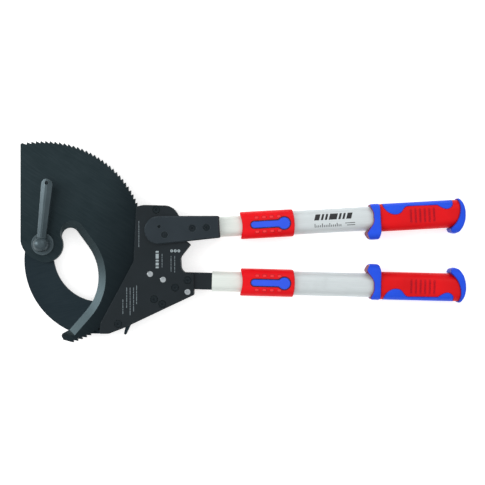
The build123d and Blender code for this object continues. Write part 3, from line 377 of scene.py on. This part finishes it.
# A dark ink for the sheet of painted shade in the gap round each latch.
GAP_SHADE_DARK = printed("gap_shade_dark", (0.010, 0.006, 0.030), (0.022, 0.010, 0.045))
PRINT_BLACK = printed("print_black", (0.006, 0.007, 0.009), (0.02, 0.023, 0.026))
PRINT_GREY = printed("print_grey", (0.030, 0.034, 0.038), (0.06, 0.066, 0.072))
ETCH_GREY = printed("etch_grey", (0.16, 0.20, 0.22), (0.08, 0.105, 0.12))
ETCH_PALE = printed("etch_pale", (0.33, 0.39, 0.41), (0.20, 0.25, 0.27))


def slide_turn(side):
    """The angle of a handle in the plan, in degrees, from its slide joint."""
    axis = Vector(joints[f"{side}_handle_slide"]["axis"])
    return degrees(axis.xy.angle_signed(Vector((1, 0))))


INNER_FINISH = {}
OUTER_FINISH = {}
for side in HANDLE_FRAMES:
    INNER_FINISH[side] = anodised_tube(
        f"{side}_inner_finish", slide_turn(side), (0.70, 0.75, 0.71), (0.78, 0.83, 0.79),
        rough=(0.50, 0.62),
    )
    OUTER_FINISH[side] = anodised_tube(
        f"{side}_outer_finish", slide_turn(side), (0.58, 0.635, 0.645), (0.67, 0.72, 0.735),
        rough=(0.48, 0.6),
    )

# ---------------------------------------------------------------- pieces
WELD_GAP = 2e-6
FLAT_ANGLE = 0.6
ROUND_SEGMENTS = 3
SHARP_ANGLE = 32
# The rubber skin's cell in millimetres, and how it is smoothed.
SKIN_CELL = 0.8
SKIN_EASE = 0.5
SKIN_PASSES = 9
# A face is on the rim if the cosine between its normal and the handle's axis is below this.
RIM_TURN = -0.55


def paint(node, *materials):
    """A CAD node keeps its shape and takes these materials."""
    mesh = nodes[node].data
    mesh.materials.clear()
    for material in materials:
        mesh.materials.append(material)


def body_of(node):
    return nodes[node]["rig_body"]


def add_piece(name, mesh, node, replaced=False):
    """A new piece on node's body. With replaced, the node is hidden."""
    piece = bpy.data.objects.new(name, mesh)
    bpy.context.scene.collection.objects.link(piece)
    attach(piece, body_of(node))
    if replaced:
        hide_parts(node)
    return piece


def handle_axes(side):
    """Unit vectors along a handle and across it."""
    angle = HANDLE_FRAMES[side][1]
    return Vector((cos(angle), sin(angle), 0)), Vector((-sin(angle), cos(angle), 0))


def softened(node, width, material, angle=30.0, proud=None):
    """The node's own shape with its sharp edges rolled over by width millimetres.

    Edges that turn by more than angle degrees are sharp. proud is (height, material) for the
    faces above that height in millimetres.
    """
    shape = bmesh.new()
    shape.from_mesh(nodes[node].data)
    bmesh.ops.remove_doubles(shape, verts=shape.verts, dist=WELD_GAP)
    bmesh.ops.dissolve_limit(
        shape, angle_limit=radians(FLAT_ANGLE), verts=shape.verts, edges=shape.edges,
        use_dissolve_boundaries=False,
    )
    sharp = [
        edge for edge in shape.edges
        if len(edge.link_faces) == 2 and edge.calc_face_angle(0) > radians(angle)
    ]
    bmesh.ops.bevel(
        shape, geom=sharp, offset=width * MM, offset_type="OFFSET", segments=ROUND_SEGMENTS,
        profile=0.5, affect="EDGES", clamp_overlap=True, loop_slide=True,
    )
    bmesh.ops.recalc_face_normals(shape, faces=shape.faces)
    mesh = bpy.data.meshes.new(f"{node}_shape")
    shape.to_mesh(mesh)
    shape.free()
    mesh.materials.append(material)
    if proud:
        mesh.materials.append(proud[1])
        for face in mesh.polygons:
            face.material_index = int(face.center.z > proud[0] * MM)
    mesh.shade_smooth()
    mesh.set_sharp_from_angle(angle=radians(SHARP_ANGLE))
    return add_piece(f"{node}_rounded", mesh, node, replaced=True)


def cushioned(node, material, rim, side):
    """The node's shape as moulded rubber: an even skin with well rounded edges.

    Faces that look towards the head take the rim material.
    """
    carrier = bpy.data.objects.new(f"{node}_carrier", nodes[node].data.copy())
    bpy.context.scene.collection.objects.link(carrier)
    skin = carrier.modifiers.new("skin", "REMESH")
    skin.mode = "VOXEL"
    skin.voxel_size = SKIN_CELL * MM
    ease = carrier.modifiers.new("ease", "SMOOTH")
    ease.factor = SKIN_EASE
    ease.iterations = SKIN_PASSES
    evaluated = carrier.evaluated_get(bpy.context.evaluated_depsgraph_get())
    mesh = bpy.data.meshes.new_from_object(evaluated)
    bpy.data.objects.remove(carrier)
    mesh.materials.clear()
    mesh.materials.append(material)
    mesh.materials.append(rim)
    along = handle_axes(side)[0]
    for face in mesh.polygons:
        face.material_index = int(face.normal.dot(along) < RIM_TURN)
    mesh.shade_smooth()
    return add_piece(f"{node}_rubber", mesh, node, replaced=True)


# ---------------------------------------------------------------- CAD nodes
# The blade's bevel faces are those whose normals lean between these heights.
BEVEL_LEAN = (0.1, 0.97)
# Between the clamp's front face and the tops of its ribs, in millimetres.
RIB_LEVEL = 38.05

plain_finish = {
    "fixed_jaw": JAW_STEEL, "rear_plate": PLATE_PAINT, "front_plate": PLATE_PAINT,
    "top_spacer": JAW_STEEL, "bottom_spacer": JAW_STEEL, "nose_spacer": JAW_STEEL,
    "pivot_bolt": SCREW_BLACK, "pivot_washer": CAST_GREY, "plate_screws": SCREW_BLACK,
    "plate_nuts": SCREW_BLACK, "holding_pawl_pin": PIN_STEEL, "spring_post": PIN_STEEL,
    "plate_dowel": PIN_STEEL, "holding_pawl_spring": SPRING_STEEL, "lower_bar": BAR_PAINT,
    "blade_bush": BRONZE, "lever_end_plug": SCREW_BLACK, "clamp_lever": CAST_GREY,
    "front_lever_plate": LEVER_PAINT, "rear_lever_plate": LEVER_PAINT,
    "upper_handle_block": BAR_PAINT, "lever_pivot_pin": SCREW_BLACK, "drive_pawl_pin": SCREW_BLACK,
    "lever_screws": SCREW_BLACK, "drive_pawl": JAW_STEEL, "drive_pawl_spring": SPRING_STEEL,
    "holding_pawl": JAW_STEEL,
}
for side in HANDLE_FRAMES:
    plain_finish[f"{side}_inner_tube"] = INNER_FINISH[side]
    plain_finish[f"{side}_outer_tube"] = OUTER_FINISH[side]
    plain_finish[f"{side}_guide_bush"] = BLACK_PLASTIC
    plain_finish[f"{side}_tube_plug"] = BLACK_PLASTIC
    plain_finish[f"{side}_brake_shoe"] = BLACK_PLASTIC
    plain_finish[f"{side}_latch_pin"] = PIN_STEEL
    plain_finish[f"{side}_latch_spring"] = SPRING_STEEL
for node, material in plain_finish.items():
    paint(node, material)

# The blade's bevel is ground brighter than its face.
paint("moving_blade", BLADE_STEEL, EDGE_STEEL)
for face in nodes["moving_blade"].data.polygons:
    face.material_index = int(BEVEL_LEAN[0] < face.normal.z < BEVEL_LEAN[1])

for side in HANDLE_FRAMES:
    # The rib tops of each clamp housing take the lighter red, a painted highlight.
    softened(f"{side}_clamp_housing", width=0.9, material=RED, proud=(RIB_LEVEL, RIB_HIGHLIGHT_RED))
    softened(f"{side}_latch", width=0.5, material=BLUE, angle=40)
    softened(f"{side}_grip_body", width=0.9, material=RED_GRIP)
    softened(f"{side}_grip_inlay", width=0.35, material=BLUE_GRIP)
    cushioned(f"{side}_grip_guard", BLUE_GRIP, GUARD_RIM, side)
    cushioned(f"{side}_grip_end_cap", BLUE_GRIP, BLUE_RIM, side)

# ---------------------------------------------------------------- marks, in millimetres
# The outer tube is two half rounds joined by flats of half width TUBE_FLAT.
TUBE_FLAT = 5.0
TUBE_ROUND = 13.25
MARK_LIFT = 0.05
PATCH_STEPS = 6
# Generic marks in place of the maker's print: slanted blocks above ticks and two lines.
BLOCKS_START = 236.0
BLOCK_WIDTHS = (7.5, 3.4, 3.4, 12.0, 3.4, 3.4, 7.5)
BLOCK_GAP = 2.6
BLOCK_T = (1.4, 10.4)
BLOCK_SLANT = 2.8
TICK_S = (236.5, 237.6)
TICK_PITCH = 2.8
TICK_COUNT = 15
TICK_LONG_EVERY = 4
TICK_FOOT = -9.4
TICK_TOP_LONG = -3.8
TICK_TOP_SHORT = -6.2
SMALL_LINES = ((283.0, 298.0, -5.4, -4.4), (285.5, 298.0, -8.6, -7.6))
# A dark sheet of painted shade lies in the gap round each latch, for the shadow in that gap.
LATCH_S = (145.2, 190.4)
LATCH_BAR_R = 4.9
LATCH_KNOB_R = 9.0
GAP_SHADE_RIMS = (0.35, 1.35)
GAP_SHADE_HEIGHT = 17.3
# Etched dashes on the side plate: x, top, bottom, width, lengths in turn, gap.
PLATE_MARK_LIFT = 0.04
ETCHED_COLUMNS = (
    (146.8, 35.0, -5.0, 1.0, (3.1, 1.6, 4.4, 2.2), 0.8),
    (182.0, -15.0, -37.0, 1.0, (3.8, 1.9, 5.0), 1.0),
    (195.6, -18.0, -44.0, 1.0, (2.4, 5.2, 1.8), 1.0),
    (201.2, -18.0, -44.0, 0.9, (4.4, 3.0, 6.0), 1.1),
    (122.6, -84.0, -109.0, 1.0, (4.6, 2.4), 0.9),
    (128.4, -66.0, -104.0, 1.0, (6.2, 3.0, 4.0), 0.9),
    (133.6, -66.0, -108.0, 1.0, (3.4, 7.0, 2.2), 0.9),
    (138.8, -66.0, -104.0, 1.0, (5.0, 2.8, 8.0), 0.9),
    (143.4, -63.0, -94.0, 1.0, (7.4, 3.6, 2.6), 0.9),
)
PALE_COLUMN = (174.6, -10.5, -43.5, 4.6, (2.6, 7.4, 2.6, 4.2), 1.7)
RING_X = (196.6, 202.0, 207.4)
RING_Y = -10.4
RING_RADII = (0.7, 2.2)
RING_STEPS = 24


def sheet_mesh(name, material, patches):
    """One mesh of thin patches. A patch is a grid of points, row by row."""
    shape = bmesh.new()
    for rows in patches:
        grid = [[shape.verts.new(point) for point in row] for row in rows]
        for lower, upper in zip(grid, grid[1:]):
            for k in range(len(lower) - 1):
                shape.faces.new((lower[k], lower[k + 1], upper[k + 1], upper[k]))
    bmesh.ops.recalc_face_normals(shape, faces=shape.faces)
    for face in shape.faces:
        if face.normal.z < 0:
            face.normal_flip()
    mesh = bpy.data.meshes.new(name)
    shape.to_mesh(mesh)
    shape.free()
    mesh.materials.append(material)
    return mesh


def on_handle(side, s, t, height):
    """The point s along a handle, t across it and height above its axis."""
    along, across = handle_axes(side)
    return HANDLE_FRAMES[side][0] + along * s * MM + across * t * MM + Vector((0, 0, height * MM))


def on_upper_tube(s, t):
    """The point on the upper outer tube's front face, s along it and t across it."""
    past = max(abs(t) - TUBE_FLAT, 0)
    return on_handle("upper", s, t, (TUBE_ROUND**2 - past**2) ** 0.5 + MARK_LIFT)


def tube_patch(s_from, s_to, t_from, t_to, slant=0.0):
    """A patch of print on the upper outer tube, shifted along it by slant at its far edge."""
    rows = []
    for k in range(PATCH_STEPS + 1):
        t = t_from + (t_to - t_from) * k / PATCH_STEPS
        lean = slant * k / PATCH_STEPS
        rows.append([on_upper_tube(s_from + lean, t), on_upper_tube(s_to + lean, t)])
    return rows


def arc(centre, radius, start, end, steps=10):
    """Points on an arc, with its angles in radians."""
    turn = [start + (end - start) * k / steps for k in range(steps + 1)]
    return [(centre[0] + radius * cos(a), centre[1] + radius * sin(a)) for a in turn]


def keyhole_loop(margin):
    """The latch's outline, larger by margin, as a closed loop of (s, t) points."""
    bar, knob, neck = LATCH_BAR_R + margin, LATCH_KNOB_R + margin, LATCH_BAR_R
    reach = ((knob + neck) ** 2 - (bar + neck) ** 2) ** 0.5
    lean = atan2(bar + neck, -reach)
    half = arc((LATCH_S[0], 0), bar, pi, pi / 2)
    half += arc((LATCH_S[1] - reach, bar + neck), neck, -pi / 2, lean - pi)
    half += arc((LATCH_S[1], 0), knob, lean, 0)
    return half + [(s, -t) for s, t in reversed(half[1:-1])] + [half[0]]


def on_plate(x, y):
    return Vector((x * MM, y * MM, plate_top))


def dash_column(x, y_top, y_bottom, width, lengths, gap):
    """A column of dashes down the plate, whose lengths repeat in turn."""
    dashes, y, k = [], y_top, 0
    while y - lengths[k % len(lengths)] > y_bottom:
        length = lengths[k % len(lengths)]
        sides = (x - width / 2, x + width / 2)
        dashes.append([[on_plate(side, end) for side in sides] for end in (y - length, y)])
        y -= length + gap
        k += 1
    return dashes


def plate_ring(x):
    """A flat ring on the plate, as its inner and outer loops of points."""
    return [
        [on_plate(*point) for point in arc((x, RING_Y), radius, 0, tau, RING_STEPS)]
        for radius in RING_RADII
    ]


bold_blocks = []
s = BLOCKS_START
for width in BLOCK_WIDTHS:
    bold_blocks.append(tube_patch(s, s + width, *BLOCK_T, slant=BLOCK_SLANT))
    s += width + BLOCK_GAP
add_piece("upper_tube_blocks", sheet_mesh("tube_blocks", PRINT_BLACK, bold_blocks), "upper_outer_tube")
ticks = [
    tube_patch(
        TICK_S[0] + TICK_PITCH * k, TICK_S[1] + TICK_PITCH * k,
        TICK_FOOT, TICK_TOP_SHORT if k % TICK_LONG_EVERY else TICK_TOP_LONG,
    )
    for k in range(TICK_COUNT)
]
ticks += [tube_patch(*line) for line in SMALL_LINES]
add_piece("upper_tube_ticks", sheet_mesh("tube_ticks", PRINT_GREY, ticks), "upper_outer_tube")

# Each latch gets a dark sheet of painted shade in the gap round it.
for side in HANDLE_FRAMES:
    rims = [[on_handle(side, s, t, GAP_SHADE_HEIGHT) for s, t in keyhole_loop(rim)] for rim in GAP_SHADE_RIMS]
    gap_shade = sheet_mesh(f"{side}_seal", GAP_SHADE_DARK, [rims])
    add_piece(f"{side}_latch_gap_shade", gap_shade, f"{side}_clamp_housing")

plate_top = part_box("front_plate")[1][2] + PLATE_MARK_LIFT * MM
etched = [dash for column in ETCHED_COLUMNS for dash in dash_column(*column)]
add_piece("plate_etching", sheet_mesh("plate_etching", ETCH_GREY, etched), "front_plate")
pale = dash_column(*PALE_COLUMN) + [plate_ring(x) for x in RING_X]
add_piece("plate_blocks", sheet_mesh("plate_blocks", ETCH_PALE, pale), "front_plate")

# ---------------------------------------------------------------- floor, light, camera
FLOOR_HALF = 40.0
FLOOR_DROP = 0.0002
FLOOR_GREYS = ((0.80, 0.80, 0.80), (0.83, 0.83, 0.83))
FLOOR_GLOW = 0.55
# The light tent is dim at the horizon and bright from this height of the view direction up.
TENT_BRIGHT_FROM = 0.95
TENT_GLOW = (0.32, 0.96)
# The camera looks straight down. The picture is VIEW_WIDTH wide at the height VIEW_PLANE_Z.
VIEW_CENTRE = Vector((0.304, 0.0023, 0))
VIEW_WIDTH = 0.737
VIEW_HEIGHT = 1.5
VIEW_PLANE_Z = 0.030
SENSOR_WIDTH = 36

floor_mesh = bpy.data.meshes.new("floor")
corners = [(FLOOR_HALF * x, FLOOR_HALF * y, 0) for x, y in ((-1, -1), (1, -1), (1, 1), (-1, 1))]
floor_mesh.from_pydata(corners, [], [(0, 1, 2, 3)])
floor = bpy.data.objects.new("floor", floor_mesh)
floor.location.z = cad_box[0][2] - FLOOR_DROP
bpy.context.scene.collection.objects.link(floor)
paper = Shade("pale_floor", metallic=0.0, roughness=0.9, specular=0.05)
paper.colour(paper.mix(paper.spread(paper.noise(scale=3, detail=2), 0.3, 0.7, 0, 1), *FLOOR_GREYS))
paper.shader.inputs["Emission Color"].default_value = (1, 1, 1, 1)
paper.shader.inputs["Emission Strength"].default_value = FLOOR_GLOW
floor_mesh.materials.append(paper.material)

world = bpy.data.worlds.new("studio")
world.use_nodes = True
sky = world.node_tree
direction = sky.nodes.new("ShaderNodeTexCoord").outputs["Generated"]
split = sky.nodes.new("ShaderNodeSeparateXYZ")
ramp = sky.nodes.new("ShaderNodeMapRange")
ramp.interpolation_type = "SMOOTHSTEP"
set_range(ramp, 0.0, TENT_BRIGHT_FROM, *TENT_GLOW)
sky.links.new(direction, split.inputs[0])
sky.links.new(split.outputs["Z"], ramp.inputs["Value"])
sky.links.new(ramp.outputs["Result"], sky.nodes["Background"].inputs["Strength"])
sky.nodes["Background"].inputs["Color"].default_value = (1, 1, 1, 1)
bpy.context.scene.world = world


def soft_light(name, place, target, size, power):
    """A rectangular area light of power watts at place, turned towards target."""
    lamp = bpy.data.lights.new(name, "AREA")
    lamp.shape = "RECTANGLE"
    lamp.size, lamp.size_y = size
    lamp.energy = power
    light = bpy.data.objects.new(name, lamp)
    light.location = place
    light.rotation_euler = (Vector(target) - Vector(place)).to_track_quat("-Z", "Y").to_euler()
    bpy.context.scene.collection.objects.link(light)


soft_light("key", place=(-1.5, 0.35, 1.0), target=(0.2, 0, 0), size=(0.9, 1.4), power=21)
soft_light("fill", place=(1.1, 1.2, 1.4), target=(0.3, 0, 0), size=(1.2, 1.2), power=6)

camera_data = bpy.data.cameras.new("camera")
camera_data.sensor_width = SENSOR_WIDTH
camera_data.lens = SENSOR_WIDTH * VIEW_HEIGHT / VIEW_WIDTH
camera = bpy.data.objects.new("camera", camera_data)
camera.location = VIEW_CENTRE + Vector((0, 0, VIEW_PLANE_Z + VIEW_HEIGHT))
bpy.context.scene.collection.objects.link(camera)
bpy.context.scene.camera = camera
bpy.context.scene.view_settings.view_transform = "Standard"
